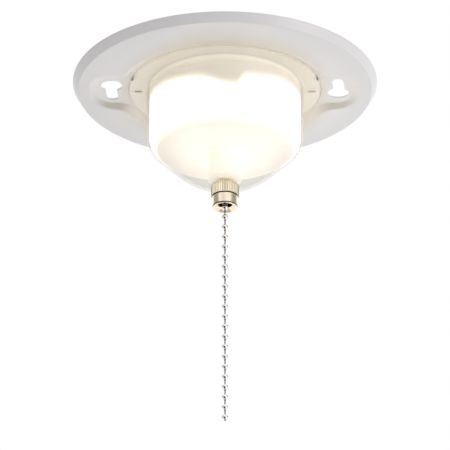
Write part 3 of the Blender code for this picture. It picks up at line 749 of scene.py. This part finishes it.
def lens():
    inner_r = LENS_R - LENS_T
    inner_bottom_z = LENS_BOTTOM_Z + LENS_T
    inner_corner_z = LENS_CORNER_Z + LENS_T * math.tan((math.pi / 2 - LENS_CONE_ANGLE) / 2)
    outer = dome_outline(LENS_R, LENS_CORNER_Z, LENS_CORNER_R, LENS_BOTTOM_Z, LENS_HOLE_R)
    inner = dome_outline(inner_r, inner_corner_z, LENS_CORNER_R - LENS_T, inner_bottom_z, LENS_HOLE_R)
    flange_z = FLANGE_TOP_Z - FLANGE_T
    profile = [(inner_r, FLANGE_TOP_Z), (FLANGE_R - 0.0002, FLANGE_TOP_Z)]
    profile += [(FLANGE_R, FLANGE_TOP_Z - 0.0002), (FLANGE_R, flange_z + 0.0003)]
    profile += [(FLANGE_R - 0.0003, flange_z), (FLANGE_R - 0.0015, flange_z)]
    profile += [(r, flange_z) for r in reversed(RIB_SPAN)]
    profile += [(LENS_R + LENS_ROOT_R + 0.0006, flange_z)]
    profile += arc(LENS_R + LENS_ROOT_R, flange_z - LENS_ROOT_R, LENS_ROOT_R, math.pi / 2, math.pi, 6)
    profile += outer + inner[::-1]
    made = turned("lens_shell", profile, 360, shape=flange_marks)
    place_piece(made, clear_plastic("clear_shell"), "fixture", "clear_plastic", "lens")

    def at_mark(r, z, angle):
        side = math.degrees(min(abs(angle), math.pi - abs(angle)))
        rib = RIB_SPAN[0] < r < RIB_SPAN[1] and side < RIB_HALF and z < flange_z + 0.0001
        notch = r > FLANGE_R - 0.00085 and angle < 0 and abs(side - NOTCH_SIDE) < NOTCH_HALF
        return rib or notch

    # painted shadow: the rib's underside and the notch take a dark grey where their shadow falls
    darken(made, moulded_plastic("mark_shade", *MARK_SHADOW_GREYS), at_mark)


def diffuser():
    bottom = DIFFUSER_FLOOR_Z
    inner_r = DIFFUSER_R - DIFFUSER_T
    corner = DIFFUSER_CORNER_R
    profile = [(inner_r, DIFFUSER_TOP_Z), (DIFFUSER_R, DIFFUSER_TOP_Z)]
    profile += arc(DIFFUSER_R - corner, bottom + corner, corner, 0, -math.pi / 2, 24)
    profile += arc(NECK_R + 0.002, bottom - 0.002, 0.002, math.pi / 2, math.pi, 6)
    neck_inner_r = NECK_R - DIFFUSER_T
    profile += [(NECK_R, NECK_BOTTOM_Z + 0.0002), (NECK_FOOT_R, NECK_BOTTOM_Z - 0.0008)]
    profile += [(NECK_FOOT_R - 0.0002, NECK_BOTTOM_Z - 0.0006), (neck_inner_r, NECK_BOTTOM_Z + 0.0008)]
    profile += [(neck_inner_r, bottom + DIFFUSER_T)]
    inside = corner - DIFFUSER_T
    profile += arc(DIFFUSER_R - corner, bottom + corner, inside, -math.pi / 2, 0, 16)
    made = turned("diffuser_cup", profile, 192)
    place_piece(made, lit_diffuser("lit_frosted"), "fixture", "frosted_plastic", "diffuser")


# ---------------------------------------------------------------- nut and chain

def knurl(r, z, angle):
    """Straight knurling on the nut's upper band."""
    if z < NUT_KNURL_BOTTOM_Z - 0.00005 or r < NUT_KNURL_R - 0.0002:
        return r, z
    return r - KNURL_DEPTH * abs(math.sin(angle * KNURL_TEETH / 2)), z


def darken(piece, material, is_dark):
    """Gives the faces whose centre passes is_dark(r, z, angle) a second material."""
    piece.data.materials.append(material)
    for face in piece.data.polygons:
        x, y, z = face.center
        if is_dark(math.hypot(x, y), z, math.atan2(y, x)):
            face.material_index = 1


def thimble_nut(nickel, shade):
    """A knurled band, a groove painted dark as shade, a slightly tapered collar and a flared mouth, with a
    painted dark band above the mouth's lip.
    """
    groove_z = NUT_KNURL_BOTTOM_Z - NUT_GROOVE_W
    lip = NUT_MOUTH_Z + NUT_LIP_T
    half_lip = NUT_LIP_T / 2
    profile = [(NUT_BORE_R, NUT_TOP_Z), (NUT_KNURL_R - 0.0004, NUT_TOP_Z + 0.0003)]
    profile += [(NUT_KNURL_R, NUT_TOP_Z + 0.0001), (NUT_KNURL_R, NUT_KNURL_BOTTOM_Z + 0.0001)]
    profile += [(NUT_KNURL_R - 0.0001, NUT_KNURL_BOTTOM_Z), (NUT_GROOVE_R, NUT_KNURL_BOTTOM_Z)]
    profile += [(NUT_GROOVE_R, groove_z), (NUT_COLLAR_R - 0.0001, groove_z)]
    profile += [(NUT_COLLAR_R, groove_z - 0.0001), (NUT_LIP_R + 0.0001, lip + 0.0003)]
    profile += [(NUT_LIP_R - 0.0002, lip + 0.0002), (NUT_LIP_R - 0.0002, lip)]
    profile += arc(NUT_LIP_R - half_lip, lip - half_lip, half_lip, math.pi / 2, -math.pi / 2, 8)
    profile += [
        (NUT_THROAT_R + (NUT_MOUTH_R - NUT_THROAT_R) * (1 - k / 8) ** 1.6,
         NUT_MOUTH_Z + (NUT_THROAT_Z - NUT_MOUTH_Z) * (k / 8))
        for k in range(9)
    ]
    profile += [(NUT_THROAT_R, NUT_SHOULDER_Z), (NUT_BORE_R, NUT_SHOULDER_Z)]
    made = turned("nut_shell", profile, KNURL_TEETH * 8, shape=knurl, smooth_angle=30)
    place_piece(made, nickel, "fixture", "nickel", "thimble_nut")

    def in_groove(r, z, _):
        upper = groove_z - 0.00002 < z < NUT_KNURL_BOTTOM_Z + 0.00002
        lower = lip - 0.00002 < z < lip + 0.00028 and r < NUT_LIP_R + 0.00005
        return (upper or lower) and r > NUT_MOUTH_R

    # painted shade: the groove under the knurling and the band above the mouth's lip take the dark metal
    darken(made, shade, in_groove)


def bead_mesh():
    """A hollow-looking ball with a pin that runs up into the bead above."""
    pin_top = BEAD_PITCH - BEAD_R * 0.75
    hole = 0.00042
    start = math.acos(hole / BEAD_R)
    profile = [(0, pin_top), (PIN_R, pin_top), (PIN_R, BEAD_R * 0.80), (hole, BEAD_R * 0.80)]
    profile += arc(0, 0, BEAD_R, start, -start, 18)
    profile += [(hole, -BEAD_R * 0.80), (0, -BEAD_R * 0.80)]
    return turned("bead_pattern", profile, 28, smooth_angle=50)


def bead_chain(nickel, shade):
    pattern = bead_mesh()
    bodies = frame["record"]["behaviour"]["bodies"]
    for body, nodes in bodies.items():
        for node in nodes:
            if not node.startswith("chain_bead_"):
                continue
            number = int(node.split("_")[-1])
            bead = bpy.data.objects.new(f"ball_{number:02d}", pattern.data.copy())
            bpy.context.scene.collection.objects.link(bead)
            bead.location = (0, 0, FIRST_BEAD_Z - BEAD_PITCH * (number - 1))
            place_piece(bead, nickel, body, "nickel", node)
            # painted shade: the pin and the caps in the bead's holes take the dark metal, for the shade
            # inside and between the balls
            darken(bead, shade, lambda r, z, _: r < PIN_R * 1.5)
    bpy.data.objects.remove(pattern)


# ---------------------------------------------------------------- the CAD pieces that show as they are

def dress_nodes(materials):
    """Gives each remaining CAD node the finish of its record slot."""
    slots = {entry["node"]: entry["material_slot"] for entry in frame["record"]["subparts"]}
    for name, node in frame["nodes"].items():
        finish = materials[slots[name]]
        node.data.materials.clear()
        node.data.materials.append(finish)


def slot_materials():
    white = moulded_plastic("white_parts", (0.76, 0.76, 0.755), (0.81, 0.81, 0.80))
    black = moulded_plastic("black_parts", (0.020, 0.020, 0.022), (0.035, 0.035, 0.036), (0.35, 0.5))
    return {
        "white_plastic": white,
        "clear_plastic": clear_plastic("clear_parts"),
        "frosted_plastic": lit_diffuser("frosted_parts"),
        "circuit_board": moulded_plastic("board_mask", (0.80, 0.80, 0.78), (0.88, 0.88, 0.86), (0.3, 0.45)),
        "led_phosphor": moulded_plastic("phosphor", (0.90, 0.68, 0.25), (0.98, 0.78, 0.35), (0.3, 0.4)),
        "black_plastic": black,
        "resistor_body": moulded_plastic("resistor_lacquer", (0.20, 0.36, 0.29), (0.27, 0.44, 0.37)),
        "varistor_body": moulded_plastic("varistor_epoxy", (0.03, 0.09, 0.38), (0.06, 0.14, 0.48)),
        "rotor_plastic": moulded_plastic("natural_nylon", (0.68, 0.63, 0.50), (0.76, 0.71, 0.58)),
        "steel": plated_metal("zinc_steel", (0.50, 0.50, 0.52), (0.62, 0.62, 0.63), (0.22, 0.35)),
        "nickel": plated_metal("nickel_parts", (0.62, 0.58, 0.52), (0.72, 0.68, 0.62)),
        "brass": plated_metal("bare_brass", (0.66, 0.47, 0.20), (0.76, 0.57, 0.28), (0.18, 0.3)),
        "copper": plated_metal("bare_copper", (0.66, 0.36, 0.23), (0.76, 0.44, 0.30), (0.2, 0.3)),
        "wire_black": moulded_plastic("black_cover", (0.02, 0.02, 0.02), (0.035, 0.035, 0.035), (0.4, 0.5)),
        "wire_red": moulded_plastic("red_cover", (0.45, 0.03, 0.03), (0.55, 0.05, 0.04), (0.4, 0.5)),
        "wire_white": moulded_plastic("white_cover", (0.74, 0.74, 0.72), (0.80, 0.80, 0.78), (0.4, 0.5)),
    }


def main():
    bpy.context.scene.view_settings.view_transform = "Standard"
    add_camera()
    add_world()
    add_floor()
    add_light("key", (2.1, -1.4, -0.9), (0, 0, -0.02), 1.6, 12)
    dress_nodes(slot_materials())
    base_plate()
    lens()
    diffuser()
    nickel = plated_metal("bright_nickel", (0.86, 0.74, 0.56), (0.93, 0.82, 0.64))
    # painted shade: a dark metal put in the nut's grooves and on the beads' pins and holes, where shade
    # falls
    shade = plated_metal("painted_shade_metal", (0.10, 0.085, 0.07), (0.16, 0.14, 0.12), (0.3, 0.45))
    thimble_nut(nickel, shade)
    bead_chain(plated_metal("chain_nickel", (0.78, 0.76, 0.74), (0.88, 0.86, 0.84)), shade)


main()
